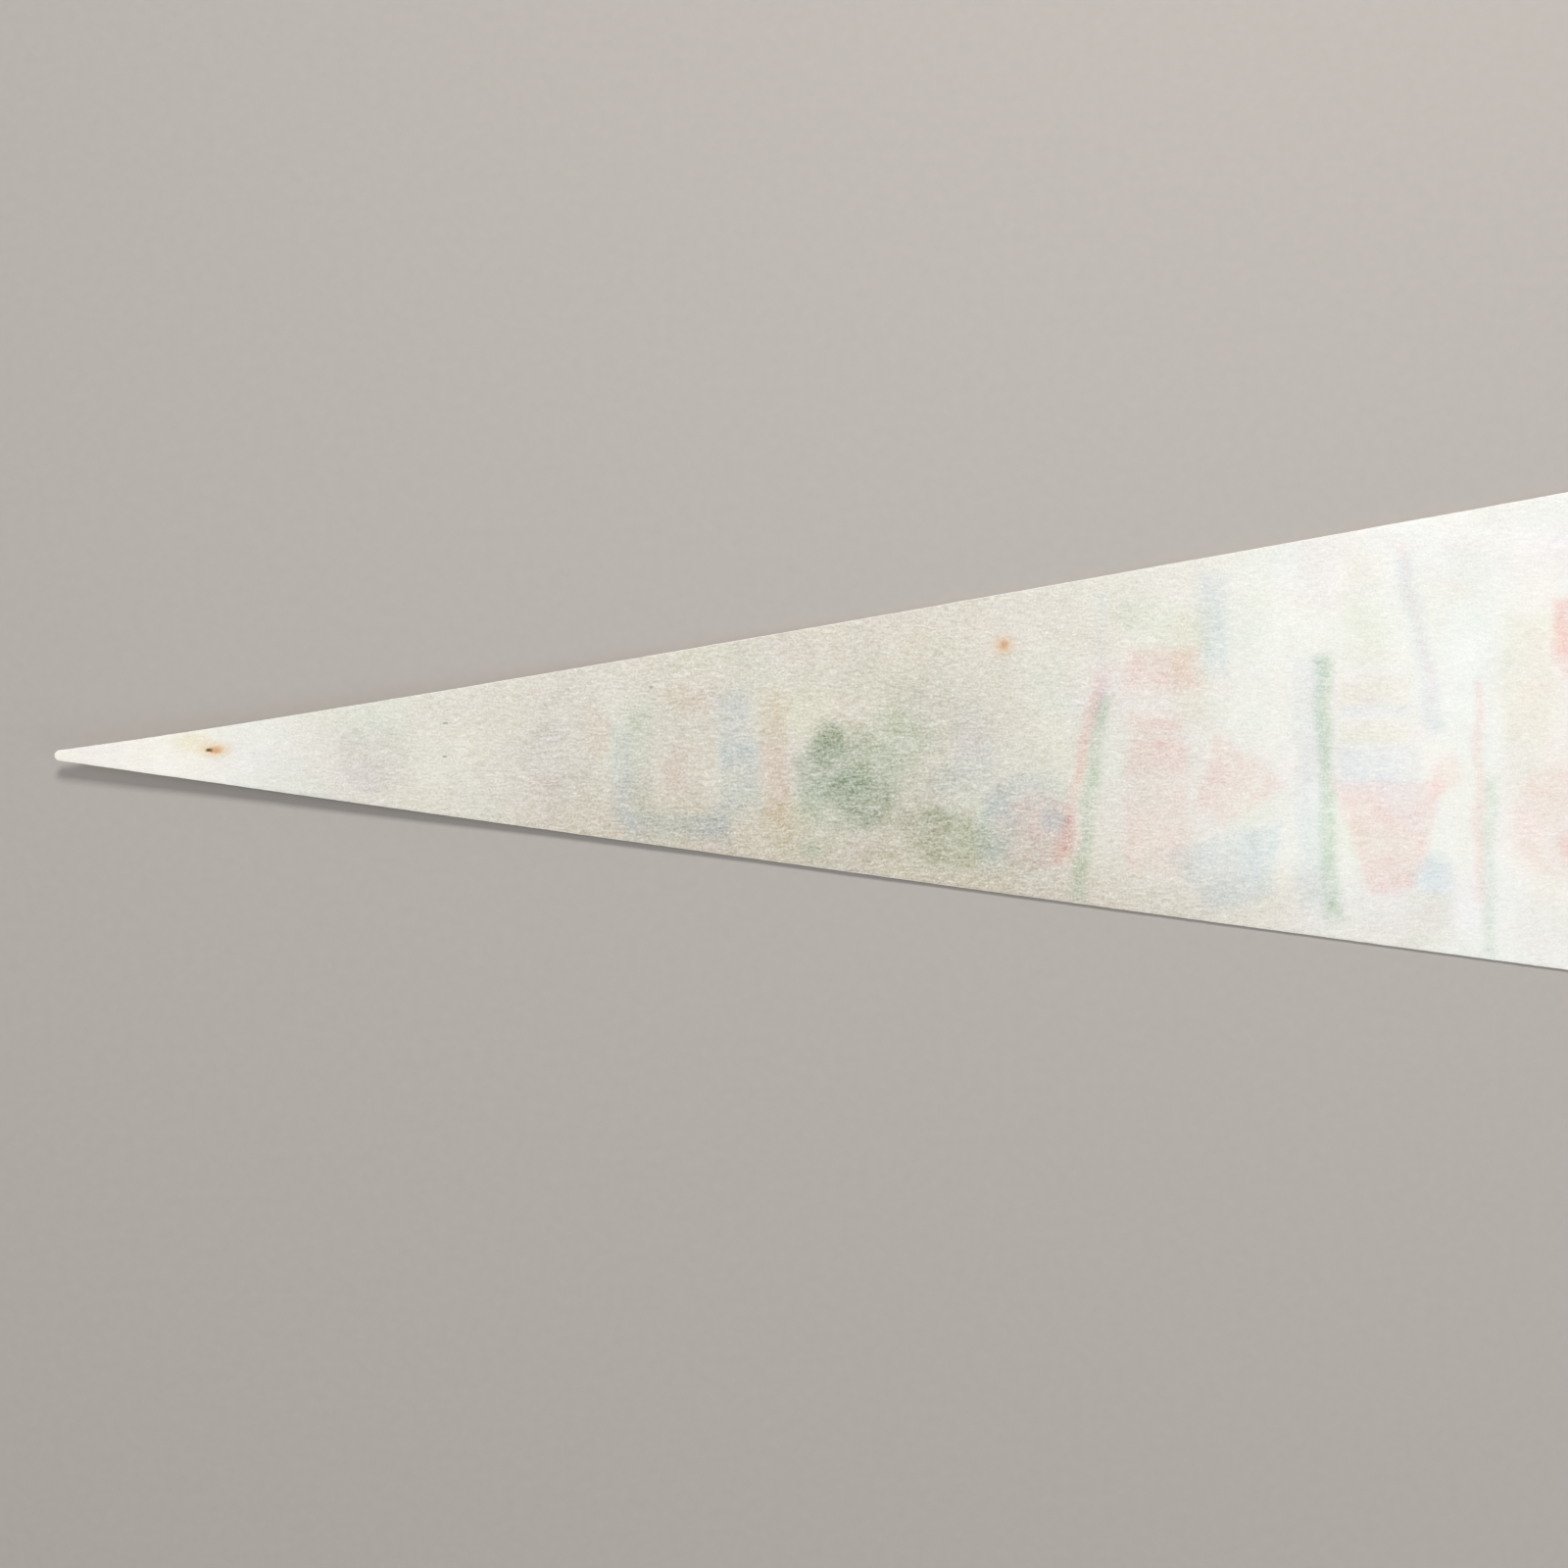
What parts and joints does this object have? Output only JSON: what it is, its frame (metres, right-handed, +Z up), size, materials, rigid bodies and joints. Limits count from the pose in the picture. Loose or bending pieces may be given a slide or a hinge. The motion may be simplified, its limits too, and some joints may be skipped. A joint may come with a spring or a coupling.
{
  "type": "felt souvenir pennant",
  "caption": "Long triangular white felt pennant lying face down, with a sewn felt header strip and pairs of felt streamers that fold.",
  "frame": {"origin": "centre of the footprint, on the surface that the pennant lies on", "axes": "+X from the tip to the header and streamers, +Y across the pennant, +Z up out of its plain back; the printed front faces down"},
  "size_m": [0.796, 0.216, 0.0092],
  "materials": {
    "white_felt": "pressed white felt, faint show-through of the print on its back",
    "red_felt": "dyed pressed felt, faded red",
    "cotton_thread": "twisted cotton sewing thread"
  },
  "bodies": {
    "pennant": {"pennant_field": "white_felt", "header_strip": "red_felt", "streamer_top_1_root": "red_felt", "streamer_top_2_root": "red_felt", "streamer_middle_1_root": "red_felt", "streamer_middle_2_root": "red_felt", "streamer_bottom_1_root": "red_felt", "streamer_bottom_2_root": "red_felt", "needle_thread_inner": "cotton_thread", "bobbin_thread_inner": "cotton_thread", "needle_thread_outer": "cotton_thread", "bobbin_thread_outer": "cotton_thread"},
    "streamer_top_1": {"streamer_top_1_tail": "red_felt"},
    "streamer_top_2": {"streamer_top_2_tail": "red_felt"},
    "streamer_middle_1": {"streamer_middle_1_tail": "red_felt"},
    "streamer_middle_2": {"streamer_middle_2_tail": "red_felt"},
    "streamer_bottom_1": {"streamer_bottom_1_tail": "red_felt"},
    "streamer_bottom_2": {"streamer_bottom_2_tail": "red_felt"}
  },
  "joints": [
    {"name": "streamer_top_1_fold", "type": "hinge", "parent": "pennant", "child": "streamer_top_1", "pos_m": [0.2914, 0.0908, 0.0011], "axis": [0, -1, 0], "range_deg": [-150, 150]},
    {"name": "streamer_top_2_fold", "type": "hinge", "parent": "pennant", "child": "streamer_top_2", "pos_m": [0.2914, 0.0752, 0.0011], "axis": [0, -1, 0], "range_deg": [-150, 150]},
    {"name": "streamer_middle_1_fold", "type": "hinge", "parent": "pennant", "child": "streamer_middle_1", "pos_m": [0.2914, 0.0078, 0.0011], "axis": [0, -1, 0], "range_deg": [-150, 150]},
    {"name": "streamer_middle_2_fold", "type": "hinge", "parent": "pennant", "child": "streamer_middle_2", "pos_m": [0.2914, -0.0078, 0.0011], "axis": [0, -1, 0], "range_deg": [-150, 150]},
    {"name": "streamer_bottom_1_fold", "type": "hinge", "parent": "pennant", "child": "streamer_bottom_1", "pos_m": [0.2914, -0.0752, 0.0011], "axis": [0, -1, 0], "range_deg": [-150, 150]},
    {"name": "streamer_bottom_2_fold", "type": "hinge", "parent": "pennant", "child": "streamer_bottom_2", "pos_m": [0.2914, -0.0908, 0.0011], "axis": [0, -1, 0], "range_deg": [-150, 150]}
  ]
}
